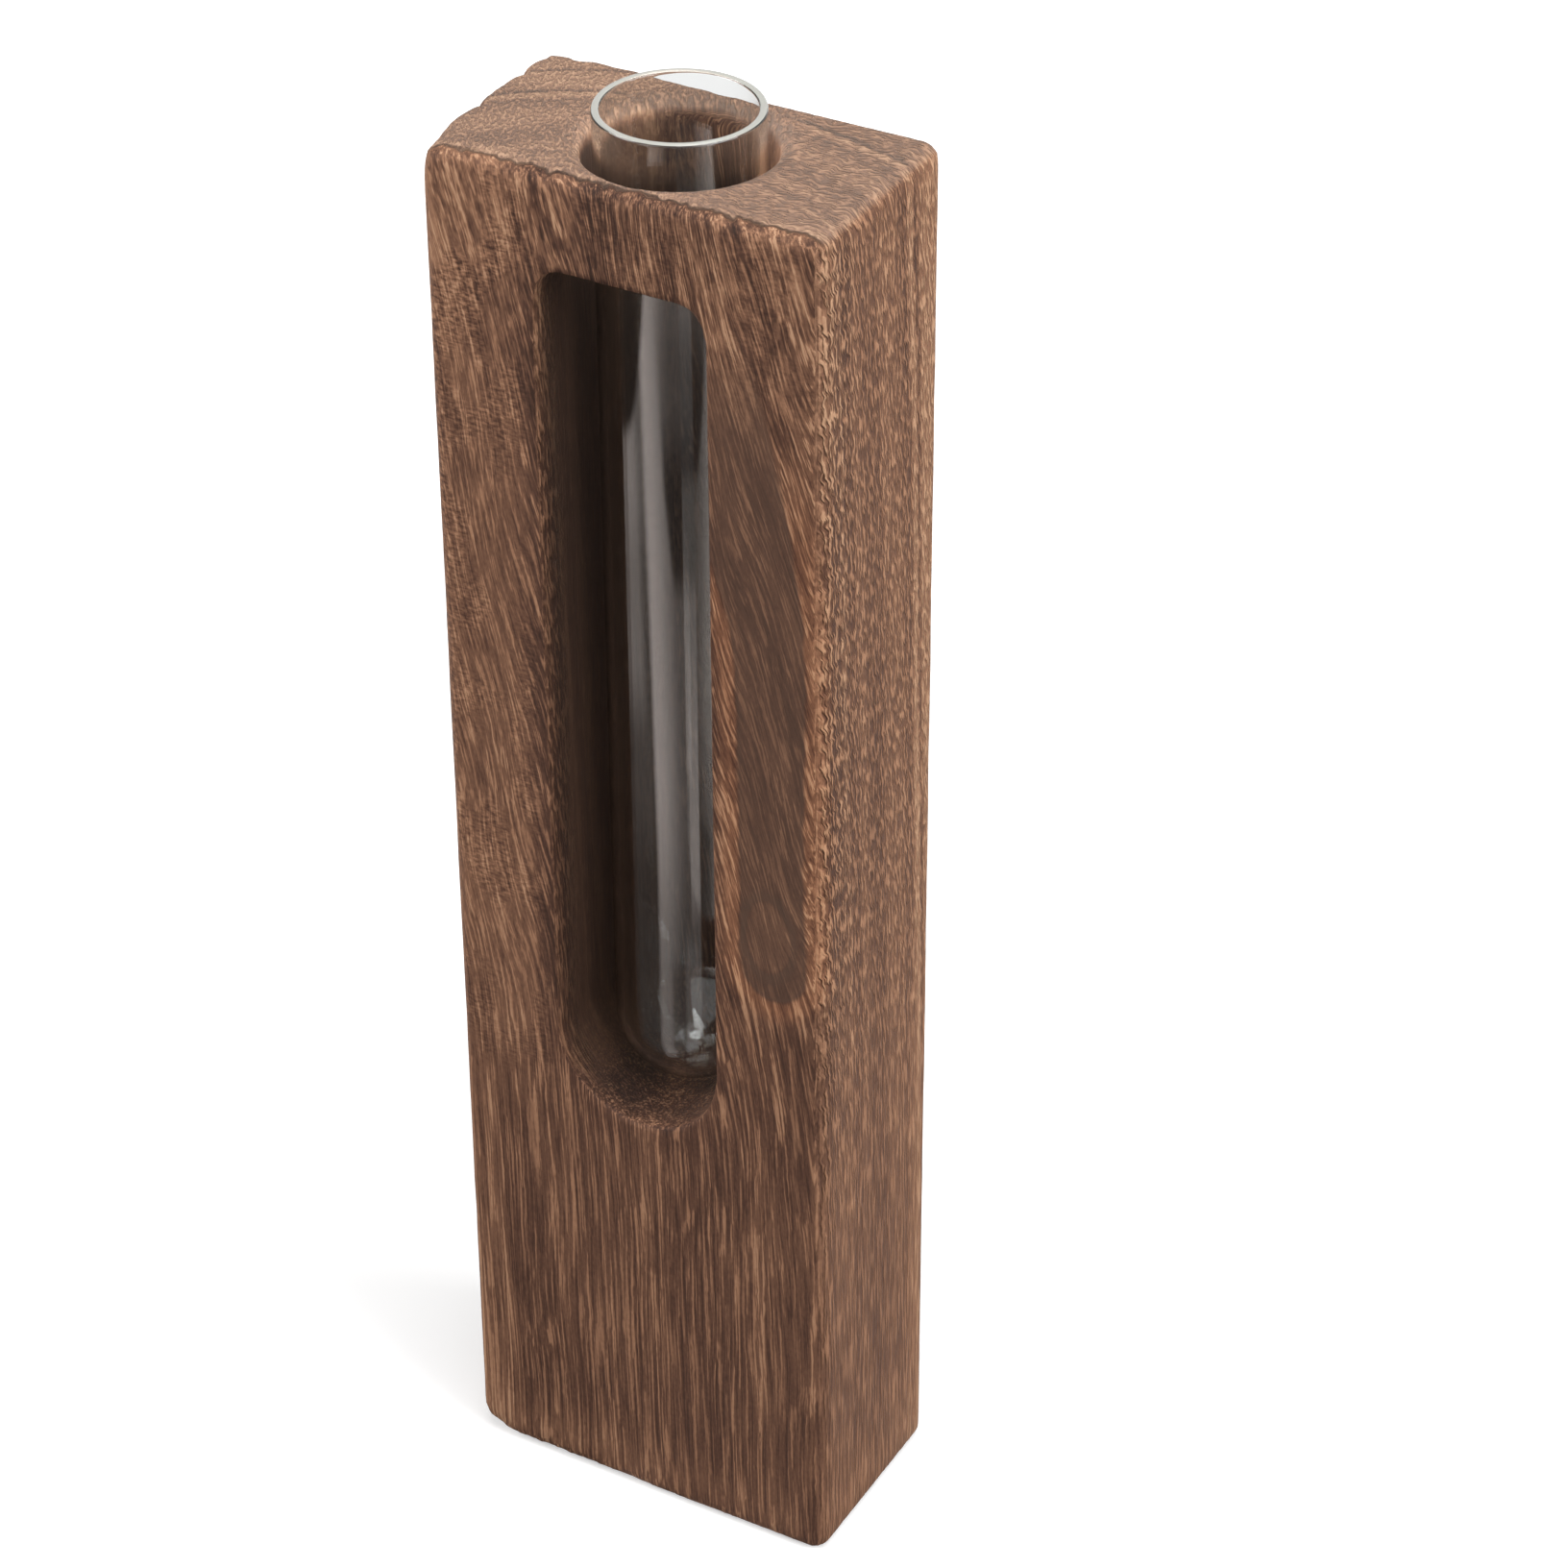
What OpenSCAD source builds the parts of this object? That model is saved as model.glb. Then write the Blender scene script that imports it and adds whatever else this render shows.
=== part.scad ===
// Test tube vase: an upright wooden block with a routed window, and one glass tube that lifts out.
// Millimetres, +Z up. The origin is the centre of the base and the window opens towards -Y.

/* [Block] */
// Width of the block, across the window
block_w = 66; // [56:1:90]
// Depth of the block, front to back
block_d = 36; // [34:1:60]
// Height of the block
block_h = 240; // [180:1:300]
// Radius of the four upright edges
side_edge_r = 3; // [1:0.5:6]
// Radius of the edges round the top and the base
end_edge_r = 2.5; // [1:0.5:4]

/* [Window] */
// Height of the window's floor above the base
window_floor = 77; // [40:1:110]
// Height of the bridge of wood above the window
bridge_h = 15.5; // [8:0.5:30]
// Gap between the tube and each side wall of the window
window_gap = 1.5; // [0.5:0.1:4]
// Radius of the window's two upper corners
window_corner_r = 5; // [2:0.5:10]
// Radius of the eased edge round the window
window_edge_r = 2; // [0.5:0.25:3]

/* [Bore] */
// Gap all round between the tube and its bore
bore_gap = 1.5; // [0.3:0.1:2.5]
// Radius of the eased rim of the bore
bore_lip_r = 3; // [0.5:0.25:3.5]

/* [Test tube] */
// Outside diameter of the tube
tube_d = 25; // [18:0.5:26]
// Thickness of the glass
glass_wall = 1.2; // [0.8:0.1:2]
// Height of the tube's rim above the block
rim_proud = 5.2; // [2:0.1:20]
// Clearance between the tube's round end and the floor that it stands on
seat_gap = 0.2; // [0.1:0.05:0.5]

/* [Hidden] */
$fn = 96;
// Overrun of every cut past the face that it opens
overrun = 1;
wood_colour = "#6f4f3c";
glass_colour = [0.86, 0.92, 0.90, 0.4];
tube_r = tube_d / 2;
bore_r = tube_r + bore_gap;
window_r = tube_r + window_gap;
front_y = -block_d / 2;
window_top = block_h - bridge_h;
window_spring = window_floor + window_r;
corner_z = window_top - window_corner_r;
corner_x = window_r - window_corner_r;
bore_end = window_floor + bore_r;
tube_foot = window_floor + seat_gap;
tube_spring = tube_foot + tube_r;
tube_rim = block_h + rim_proud;
lip_r = glass_wall / 2;

// A rectangle about the origin with round corners
module rounded_rect(w, h, r) {
    square([w - 2 * r, h], center = true);
    square([w, h - 2 * r], center = true);
    for (sx = [-1, 1], sy = [-1, 1])
        translate([sx * (w / 2 - r), sy * (h / 2 - r)]) circle(r = r);
}

// The planed block before it is cut: each of the twelve edges has its own true radius
module block_blank() {
    intersection() {
        linear_extrude(block_h) rounded_rect(block_w, block_d, side_edge_r);
        translate([0, block_d / 2, block_h / 2]) rotate([90, 0, 0])
            linear_extrude(block_d) rounded_rect(block_w, block_h, end_edge_r);
        translate([-block_w / 2, 0, block_h / 2]) rotate([90, 0, 90])
            linear_extrude(block_w) rounded_rect(block_d, block_h, end_edge_r);
    }
}

// Outline of the window, X across and Y up the block: a half round floor and two small upper corners
module window_outline() {
    translate([0, window_spring]) circle(r = window_r);
    translate([-window_r, window_spring]) square([2 * window_r, corner_z - window_spring]);
    translate([-corner_x, window_spring]) square([2 * corner_x, window_top - window_spring]);
    for (side = [-1, 1]) translate([side * corner_x, corner_z]) circle(r = window_corner_r);
}

// The window is routed from the front face to the axis of the bore
module window_pocket() {
    rotate([90, 0, 0]) linear_extrude(-front_y + overrun) window_outline();
}

// The bore comes down from the top face and ends in a round nose, level with the window's floor
module tube_bore() {
    translate([0, 0, bore_end]) {
        sphere(r = bore_r);
        cylinder(r = bore_r, h = block_h + overrun - bore_end);
    }
}

// Section of a cutter that rounds an edge: the corner is at (0, 0), X runs into the wood from the wall
// that the edge stands on, and Y from the open face
module easing_section(r) {
    difference() {
        translate([-overrun, -overrun]) square([r + overrun, r + overrun]);
        translate([r, r]) circle(r = r);
        translate([r, -2 * overrun]) square([overrun, r + 2 * overrun]);
    }
}

// Easing swept round an arc of the window's outline about a centre on the front face
module window_arc_easing(x, z, wall_r, from, sweep) {
    translate([x, front_y, z]) rotate([-90, 0, 0]) rotate([0, 0, from])
        rotate_extrude(angle = sweep) translate([wall_r, 0]) easing_section(window_edge_r);
}

// Easing along the upright sides of the window, its top, its floor and its corners
module window_easing() {
    for (side = [0, 1]) mirror([side, 0, 0]) {
        translate([window_r, front_y, window_spring])
            linear_extrude(corner_z - window_spring) easing_section(window_edge_r);
        window_arc_easing(corner_x, corner_z, window_corner_r, -90, 90);
    }
    translate([-corner_x, front_y, window_top]) rotate([90, 0, 90])
        linear_extrude(2 * corner_x) mirror([1, -1]) easing_section(window_edge_r);
    window_arc_easing(0, window_spring, window_r, 0, 180);
}

// Easing round the rim of the bore in the top face
module bore_easing() {
    translate([0, 0, block_h]) rotate_extrude() translate([bore_r, 0]) mirror([0, 1])
        easing_section(bore_lip_r);
}

module wood_block() {
    color(wood_colour) difference() {
        block_blank();
        window_pocket();
        tube_bore();
        window_easing();
        bore_easing();
    }
}

// Half section of a round ended wall: X is the radius and Y the height over the tube's foot
module tube_half(r, top) {
    intersection() {
        union() {
            translate([0, tube_r]) circle(r = r);
            translate([0, tube_r]) square([r, top - tube_r]);
        }
        square([r, top]);
    }
}

// A plain tube with a round end and a fire polished rim as thick as its wall
module test_tube() {
    length = tube_rim - tube_foot;
    color(glass_colour) translate([0, 0, tube_foot]) rotate_extrude() {
        difference() {
            tube_half(tube_r, length - lip_r);
            tube_half(tube_r - glass_wall, length);
        }
        translate([tube_r - lip_r, length - lip_r]) circle(r = lip_r);
    }
}

wood_block();
test_tube();
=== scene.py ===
"""Test tube vase: a scorched wooden block with a routed window, and the glass tube that stands in it."""

from __future__ import annotations

import logging
import math
from contextlib import contextmanager
from dataclasses import dataclass
from enum import Enum
from typing import Callable, Iterable, Iterator, NamedTuple, Optional, Union

import bpy
from mathutils import Matrix, Vector


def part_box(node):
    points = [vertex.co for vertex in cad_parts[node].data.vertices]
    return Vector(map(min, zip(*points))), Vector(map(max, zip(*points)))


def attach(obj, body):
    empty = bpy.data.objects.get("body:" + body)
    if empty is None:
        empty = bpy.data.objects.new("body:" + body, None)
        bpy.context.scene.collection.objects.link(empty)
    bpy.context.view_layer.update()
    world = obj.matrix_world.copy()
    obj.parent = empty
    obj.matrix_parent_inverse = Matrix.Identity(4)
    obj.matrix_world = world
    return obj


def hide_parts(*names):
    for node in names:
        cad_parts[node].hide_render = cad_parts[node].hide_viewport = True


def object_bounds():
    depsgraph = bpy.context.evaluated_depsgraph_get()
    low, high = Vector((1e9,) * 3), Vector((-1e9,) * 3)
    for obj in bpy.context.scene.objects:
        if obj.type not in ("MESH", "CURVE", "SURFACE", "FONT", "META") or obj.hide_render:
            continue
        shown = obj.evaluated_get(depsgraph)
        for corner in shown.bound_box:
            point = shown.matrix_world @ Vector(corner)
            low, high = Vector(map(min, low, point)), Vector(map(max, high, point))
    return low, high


LOG = logging.getLogger("test_tube_vase")
MM = 0.001

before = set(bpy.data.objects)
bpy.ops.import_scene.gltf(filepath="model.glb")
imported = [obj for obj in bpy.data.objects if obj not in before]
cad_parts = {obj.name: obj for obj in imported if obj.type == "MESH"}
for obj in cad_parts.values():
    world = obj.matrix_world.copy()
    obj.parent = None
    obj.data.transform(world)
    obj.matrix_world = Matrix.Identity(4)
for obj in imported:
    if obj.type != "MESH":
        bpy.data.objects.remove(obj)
CAD_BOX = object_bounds()

Piece = bpy.types.Object
Triple = tuple[float, float, float]
Value = Union["Wire", float]
Inputs = dict[Union[str, int], Union["Wire", bpy.types.Node, float, Triple]]
WHITE: Triple = (1.0, 1.0, 1.0)


class Body(Enum):
    """The moving bodies of the vase, by their names in the frame."""

    BLOCK = "block"
    TUBE = "tube"


class Face(Enum):
    """The faces of the block that show their own side of the grain."""

    FRONT = "front"
    SIDE = "side"
    TOP = "top"


class Element(Enum):
    """What is selected in edit mode."""

    POINT = "VERT"
    EDGE = "EDGE"
    FACE = "FACE"


def clear_selection() -> None:
    """Deselects every object, so that an operator acts on the new one alone."""
    bpy.ops.object.select_all(action="DESELECT")


def make_active(piece: Piece) -> None:
    """Selects one object alone and makes it the active one.

    Args:
        piece: The object to work on.
    """
    clear_selection()
    piece.select_set(True)
    bpy.context.view_layer.objects.active = piece


def new_piece(name: str) -> Piece:
    """Names the primitive that was just added and puts its place and scale into its mesh.

    Args:
        name: The piece's name.

    Returns:
        The new object, at the origin, unturned and unscaled.
    """
    piece = bpy.context.active_object
    piece.name = name
    piece.data.name = name
    bpy.ops.object.transform_apply(location=True, rotation=True, scale=True)
    return piece


def new_box(name: str, centre: Iterable[float], size: Iterable[float]) -> Piece:
    """Adds a box.

    Args:
        name: The piece's name.
        centre: The middle of the box.
        size: Its size along X, Y and Z.

    Returns:
        The box.
    """
    clear_selection()
    bpy.ops.mesh.primitive_cube_add(size=1.0, location=centre)
    bpy.context.active_object.scale = size
    return new_piece(name)


def new_bowl(name: str, radius: float, rim: float, segments: int) -> Piece:
    """Adds the lower half of a ball, open at the top, with its axis upright through the origin.

    Args:
        name: The piece's name.
        radius: The ball's radius.
        rim: The height of the open rim.
        segments: Faces round it.

    Returns:
        The bowl.
    """
    clear_selection()
    bpy.ops.mesh.primitive_uv_sphere_add(
        segments=segments, ring_count=segments // 2, radius=radius, location=(0, 0, rim)
    )
    bowl = new_piece(name)
    with editing(bowl, Element.POINT, lambda p: p[0].z > rim + 0.01 * MM):
        bpy.ops.mesh.delete(type="VERT")
    return bowl


@contextmanager
def editing(piece: Piece, element: Element, wanted: Callable[[list[Vector]], bool]) -> Iterator[int]:
    """Opens a mesh in edit mode with some of its elements selected, and closes it again.

    Args:
        piece: The mesh object.
        element: What is selected.
        wanted: Says for an element's corner points whether it is selected.

    Yields:
        How many elements are selected.
    """
    make_active(piece)
    bpy.ops.object.mode_set(mode="EDIT")
    bpy.ops.mesh.select_mode(type=element.value)
    bpy.ops.mesh.select_all(action="DESELECT")
    bpy.ops.object.mode_set(mode="OBJECT")
    mesh = piece.data
    points = [v.co for v in mesh.vertices]
    if element is Element.POINT:
        elements = mesh.vertices
        corners: Iterable[list[Vector]] = ([p] for p in points)
    else:
        elements = mesh.edges if element is Element.EDGE else mesh.polygons
        corners = ([points[i] for i in e.vertices] for e in elements)
    picked = [wanted(c) for c in corners]
    elements.foreach_set("select", picked)
    bpy.ops.object.mode_set(mode="EDIT")
    yield sum(picked)
    bpy.ops.object.mode_set(mode="OBJECT")


def draw_up(rise: float) -> None:
    """Extrudes what is selected straight up."""
    bpy.ops.mesh.extrude_region_move(TRANSFORM_OT_translate={"value": (0, 0, rise)})


def apply_modifier(piece: Piece, modifier: bpy.types.Modifier) -> None:
    """Applies one modifier to its mesh."""
    make_active(piece)
    bpy.ops.object.modifier_apply(modifier=modifier.name)


def cut_away(piece: Piece, cutter: Piece) -> None:
    """Cuts one solid out of another and deletes the cutter.

    Args:
        piece: The solid that is cut.
        cutter: The solid that is taken away.
    """
    cut = piece.modifiers.new("cut", "BOOLEAN")
    cut.operation = "DIFFERENCE"
    cut.solver = "EXACT"
    cut.object = cutter
    apply_modifier(piece, cut)
    bpy.data.objects.remove(cutter, do_unlink=True)


def near(value: float, target: float, slack: float = 0.02 * MM) -> bool:
    """Says whether a length is the target within a small slack."""
    return abs(value - target) < slack


@dataclass(frozen=True, eq=False)
class Wire:
    """What a node works out. It takes part in sums as a plain number does."""

    sheet: NodeSheet
    socket: bpy.types.NodeSocket

    def __add__(self, other: Value) -> Wire:
        """Returns the sum."""
        return self.sheet.math("ADD", self, other)

    def __sub__(self, other: Value) -> Wire:
        """Returns this less the other."""
        return self.sheet.math("SUBTRACT", self, other)

    def __rsub__(self, other: Value) -> Wire:
        """Returns the other less this."""
        return self.sheet.math("SUBTRACT", other, self)

    def __mul__(self, other: Value) -> Wire:
        """Returns the product."""
        return self.sheet.math("MULTIPLY", self, other)

    def __truediv__(self, other: Value) -> Wire:
        """Returns this divided by the other."""
        return self.sheet.math("DIVIDE", self, other)

    def __neg__(self) -> Wire:
        """Returns this with its sign turned."""
        return self * -1.0

    def __abs__(self) -> Wire:
        """Returns this without its sign."""
        return self.sheet.math("ABSOLUTE", self)

    __radd__ = __add__
    __rmul__ = __mul__

    def at_most(self, limit: Value) -> Wire:
        """Returns the lesser of this and a limit."""
        return self.sheet.math("MINIMUM", self, limit)

    def at_least(self, limit: Value) -> Wire:
        """Returns the greater of this and a limit."""
        return self.sheet.math("MAXIMUM", self, limit)

    def across(self, other: Wire) -> Wire:
        """Returns the long side of the right-angled triangle that two sides span."""
        return self.sheet.math("SQRT", self * self + other * other)

    def ramp_up(self, start: float, soft: float) -> Wire:
        """Returns 0 below a start, and a rise of one for one above it, which starts softly."""
        rise = self - start
        return (rise + self.sheet.math("SQRT", rise * rise + soft * soft)) * 0.5

    def step(self, off: float, on: float) -> Wire:
        """Steps smoothly between two marks.

        Args:
            off: Where the step is 0.
            on: Where the step is 1, above or below that.

        Returns:
            0 to 1.
        """
        low, high = (0.0, 1.0) if off < on else (1.0, 0.0)
        marks = {"From Min": min(off, on), "From Max": max(off, on), "To Min": low, "To Max": high}
        node = self.sheet.add("MapRange", {"Value": self, **marks}, interpolation_type="SMOOTHSTEP")
        return self.sheet.read(node, "Result")


class Place(NamedTuple):
    """A place or a direction, as three wires."""

    x: Wire
    y: Wire
    z: Wire

    def cloud(self, cell: Triple, detail: float = 1.0, roughness: float = 0.5) -> Wire:
        """Adds a Noise texture whose cells have a size along each direction.

        Args:
            cell: The size of a cell along X, Y and Z.
            detail: Octaves.
            roughness: How much each finer octave counts.

        Returns:
            0 to 1.
        """
        s = self.x.sheet
        spread = s.join(*(part * (1.0 / size) for part, size in zip(self, cell)))
        look = {"Vector": spread, "Scale": 1.0, "Detail": detail, "Roughness": roughness}
        return s.read(s.add("TexNoise", look, noise_dimensions="3D"))

    def drift(self, cell: Triple, detail: float = 1.0) -> Wire:
        """Returns a cloud that runs half to each side of 0."""
        return self.cloud(cell, detail) - 0.5


@dataclass(frozen=True, eq=False)
class NodeSheet:
    """A node tree, with short methods that add one node each and wire it up."""

    tree: bpy.types.NodeTree

    def add(self, kind: str, inputs: Optional[Inputs] = None, **settings: object) -> bpy.types.Node:
        """Adds a node.

        Args:
            kind: The node's type, without the leading ShaderNode.
            inputs: What its inputs are fed, by their names or numbers: a wire, a node for its first output, a
                number, or the three numbers of a colour.
            settings: Properties of the node and their values.

        Returns:
            The new node.
        """
        node = self.tree.nodes.new("ShaderNode" + kind)
        for name, setting in settings.items():
            setattr(node, name, setting)
        for name, value in (inputs or {}).items():
            socket = node.inputs[name]
            if isinstance(value, bpy.types.Node):
                self.tree.links.new(value.outputs[0], socket)
            elif isinstance(value, Wire):
                self.tree.links.new(value.socket, socket)
            else:
                socket.default_value = (*value, 1.0) if socket.type == "RGBA" else value
        return node

    def read(self, node: bpy.types.Node, output: Union[str, int] = 0) -> Wire:
        """Returns one output of a node."""
        return Wire(self, node.outputs[output])

    def math(self, operation: str, *values: Value) -> Wire:
        """Returns the result of a Math operation on one or two values."""
        return self.read(self.add("Math", dict(enumerate(values)), operation=operation))

    def place(self) -> Place:
        """Returns where the surface is in its object's frame, in metres."""
        return self.split(self.read(self.add("TexCoord"), "Object"))

    def split(self, vector: Wire) -> Place:
        """Returns the three parts of a vector."""
        parts = self.add("SeparateXYZ", {0: vector})
        return Place(*(self.read(parts, index) for index in range(3)))

    def join(self, x: Value, y: Value, z: Value) -> Wire:
        """Returns a vector of three parts."""
        return self.read(self.add("CombineXYZ", {0: x, 1: y, 2: z}))

    def ramp(self, value: Wire, stops: Iterable[tuple[float, Triple]]) -> Wire:
        """Colours a value by a ramp.

        Args:
            value: The value to colour.
            stops: Places from 0 to 1 and the colours there, in order.

        Returns:
            The colour.
        """
        node = self.add("ValToRGB", {0: value})
        band = node.color_ramp.elements
        for index, (place, colour) in enumerate(stops):
            stop = band[index] if index < 2 else band.new(place)
            stop.position = place
            stop.color = (*colour, 1.0)
        return self.read(node)

    def mix(
        self, share: Value, a: Union[Wire, Triple], b: Union[Wire, Triple], blend: str = "MIX"
    ) -> Wire:
        """Returns two colours mixed. The share, 0 to 1, is how much of the second shows."""
        inputs = {0: share, 6: a, 7: b}
        return self.read(self.add("Mix", inputs, data_type="RGBA", blend_type=blend, clamp_factor=True), 2)


def new_material(name: str) -> tuple[bpy.types.Material, NodeSheet]:
    """Makes an empty node material.

    Args:
        name: The material's name.

    Returns:
        The material, and the sheet that its nodes are drawn on.
    """
    material = bpy.data.materials.new(name)
    material.use_nodes = True
    material.node_tree.nodes.clear()
    return material, NodeSheet(material.node_tree)


@dataclass(frozen=True, eq=False)
class Spot:
    """A place on the block, as its finish reads it. Lengths are in millimetres, and shares run from 0 to 1.

    The bore is the distance from the bore's axis, ragged is a jitter that breaks up straight edges, and the
    border is the front to the left of the window.
    """

    here: Place
    bore: Wire
    facing_right: Wire
    facing_up: Wire
    ragged: Wire
    front_edge: Wire
    front: Wire
    side: Wire
    top: Wire
    border: Wire

    @classmethod
    def read(cls, s: NodeSheet, height: float) -> Spot:
        """Reads the place, and the face that it is on.

        Args:
            s: The material's nodes.
            height: The block's height.

        Returns:
            The place.
        """
        here = Place(*(part * (1.0 / MM) for part in s.place()))
        x, y, z = here
        facing_right, _, up = s.split(s.read(s.add("NewGeometry"), "Normal"))
        bore = x.across(y)
        facing_up = (up + bore.step(18.5, 17.0) * 0.35).step(0.35, 0.85)
        ragged = here.drift((2.0, 2.0, 5.0))
        front_edge = y + ragged * 1.7 + 16.4
        front = y.step(-13.0, -16.5)
        return cls(
            here=here,
            bore=bore,
            facing_right=facing_right,
            facing_up=facing_up,
            ragged=ragged,
            front_edge=front_edge,
            front=front,
            side=abs(facing_right).step(0.5, 0.9),
            top=facing_up * z.step(height - 8.0, height - 1.0) * front_edge.step(-0.35, 0.15),
            border=front * x.step(-13.5, -19.0) * z.step(66.0, 100.0),
        )


@dataclass(frozen=True)
class Patch:
    """A place that is paler or darker, with soft ends. The ones round the bore's lip are painted shade, and
    the one along the foot of the side is a painted highlight.

    Along each axis it has none, two or four marks in millimetres: it fades in from the first to the second,
    and out from the third to the fourth. The bore is the distance from the bore's axis.
    """

    face: Face
    lift: float
    x: tuple[float, ...] = ()
    y: tuple[float, ...] = ()
    z: tuple[float, ...] = ()
    bore: tuple[float, ...] = ()

    def on(self, spot: Spot) -> Wire:
        """Works out how much paler the patch makes a place.

        Args:
            spot: The place.

        Returns:
            The lift on the range of tones.
        """
        paler = getattr(spot, self.face.value) * self.lift
        for axis, wire in {**spot.here._asdict(), "bore": spot.bore}.items():
            marks = getattr(self, axis)
            if marks:
                paler = paler * wire.step(marks[0], marks[1])
            if len(marks) == 4:
                paler = paler * wire.step(marks[3], marks[2])
        return paler


@dataclass(frozen=True, eq=False)
class Grain:
    """The wood's fibres, its relief and its rings at a place."""

    sway: Wire
    fibre: Place
    fine: Wire
    broad: Wire
    relief: Wire
    radius: Wire
    grown: Wire


@dataclass(frozen=True, eq=False)
class Tongue:
    """The shares of the scorched tongue beside the window at a place."""

    inside: Wire
    halo: Wire
    heart: Wire
    rims: Wire


@dataclass(frozen=True)
class BurntWood:
    """Scorched, wire brushed and oiled wood. Lengths are in millimetres and colours are linear.

    The rings are drawn round a pith that runs up in front of the block, and the vessels lean over as they
    climb, so the front, the sides and the end grain all show one and the same log.
    """

    tones: tuple[tuple[float, Triple], ...] = (
        (0.00, (0.036, 0.017, 0.011)),
        (0.25, (0.088, 0.041, 0.026)),
        (0.50, (0.190, 0.093, 0.055)),
        (0.75, (0.345, 0.177, 0.102)),
        (1.00, (0.500, 0.290, 0.176)),
    )
    # The dark of the painted shade in the window, in the bore and in the crevice along the top's front edge.
    painted_shade: Triple = (0.0195, 0.0125, 0.0105)
    ash: Triple = (0.105, 0.062, 0.043)
    amber: Triple = (0.80, 0.42, 0.20)
    bleached: Triple = (0.335, 0.255, 0.205)
    growth: tuple[tuple[float, float], ...] = (
        (38.0, 0.50), (42.0, 0.50), (42.8, 0.78), (43.6, 0.42), (45.4, 0.40), (46.2, 0.64), (47.6, 0.60),
        (48.8, 0.38), (52.4, 0.38), (53.8, 0.62), (57.8, 0.62), (58.8, 0.42), (60.1, 0.42), (60.5, 0.22),
        (60.9, 0.42), (61.3, 0.42), (61.8, 0.90), (62.8, 0.86), (63.2, 0.00), (63.7, 0.26), (64.3, 0.60),
        (70.2, 0.62), (70.6, 0.00), (71.1, 0.36), (71.8, 0.58), (80.0, 0.50),
    )
    patches: tuple[Patch, ...] = (
        Patch(Face.FRONT, 0.075, z=(82.0, 66.0)),
        Patch(Face.FRONT, 0.080, x=(12.0, 18.0)),
        Patch(Face.FRONT, 0.100, z=(195.0, 228.0)),
        Patch(Face.FRONT, 0.180, x=(-13.5, -19.0), z=(66.0, 100.0)),
        Patch(Face.FRONT, -0.060, x=(-19.5, -15.5, -1.0, 0.0), z=(66.0, 84.0)),
        Patch(Face.FRONT, 0.170, x=(-23.5, -29.0), z=(95.0, 75.0)),
        Patch(Face.FRONT, 0.040, x=(-26.0, -30.0), z=(90.0, 110.0)),
        Patch(Face.FRONT, -0.085, x=(11.5, 14.0, 19.5, 22.0), z=(80.0, 68.0)),
        Patch(Face.FRONT, 0.120, x=(34.0, 10.0), z=(15.0, 5.0)),
        Patch(Face.FRONT, 0.060, x=(-17.0, -13.0, -6.0, -1.0), z=(18.0, 26.0, 80.0, 88.0)),
        Patch(Face.FRONT, 0.065, x=(-28.0, -25.0, -13.0, -9.0), z=(68.0, 76.0, 90.0, 98.0)),
        Patch(Face.FRONT, -0.060, x=(-28.0, -24.0, -16.0, -12.0), z=(198.0, 208.0, 224.0, 232.0)),
        Patch(Face.SIDE, 0.290),
        Patch(Face.SIDE, -0.045, z=(90.0, 20.0)),
        Patch(Face.SIDE, -0.120, y=(-13.0, -15.5), z=(205.0, 190.0)),
        Patch(Face.SIDE, 0.170, y=(9.0, 12.5)),
        Patch(Face.SIDE, 0.060, y=(5.0, 7.5, 9.5, 12.0), z=(110.0, 160.0)),
        # Painted highlight along the foot of the side.
        Patch(Face.SIDE, 0.090, z=(18.0, 6.0)),
        Patch(Face.TOP, 0.350),
        Patch(Face.TOP, -0.025, x=(4.0, 18.0)),
        # Painted shade round the bore's lip, darker at its back and sides than at its front.
        Patch(Face.TOP, -0.010, bore=(18.0, 14.5)),
        Patch(Face.TOP, -0.200, y=(-13.0, -3.0), bore=(18.0, 14.5)),
        Patch(Face.TOP, 0.105, x=(-10.0, -20.0), y=(3.0, 9.0)),
        Patch(Face.TOP, -0.085, x=(3.0, 8.0), y=(9.0, 13.0)),
        Patch(Face.TOP, -0.070, x=(-27.0, -31.0), y=(-10.0, -14.0)),
    )
    ground: float = 0.235
    pith_x: float = 9.5
    pith_y: float = -50.0
    ring: float = 7.4
    lean: float = 0.22
    lean_from: float = 95.0
    vessel_cell: Triple = (0.44, 0.44, 13.0)
    streak_cell: Triple = (1.9, 1.9, 30.0)
    band_cell: Triple = (6.0, 6.0, 60.0)
    stroke_cell: Triple = (3.0, 0.46, 2.6)
    height: float = 240.0
    roughness: float = 0.56
    shine: float = 0.18
    bump_strength: float = 0.8
    bump_depth: float = 0.30

    def material(self) -> bpy.types.Material:
        """Draws the finish.

        Returns:
            The material.
        """
        material, s = new_material("burnt_wood")
        spot = Spot.read(s, self.height)
        grain = self.grain(spot)
        tongue = self.tongue(spot, grain)
        calm = 1.0 + tongue.inside * -0.30 + spot.top * -0.60 + spot.side * -0.65 + spot.border * -0.15
        light = self.light(spot, grain, tongue, calm)
        height = grain.fine * calm * 1.3 + grain.broad * 0.6 + grain.relief * 4.5
        height = height + grain.grown * (spot.side + spot.top) * 0.6
        look = {"Strength": self.bump_strength, "Distance": self.bump_depth * MM, "Height": height}
        shader = s.add(
            "BsdfPrincipled",
            {
                "Base Color": self.colour(spot, tongue, light),
                "Roughness": grain.fine * 0.20 + self.roughness,
                "Specular IOR Level": self.shine,
                "Normal": s.add("Bump", look),
            },
        )
        s.add("OutputMaterial", {"Surface": shader})
        return material

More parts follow.
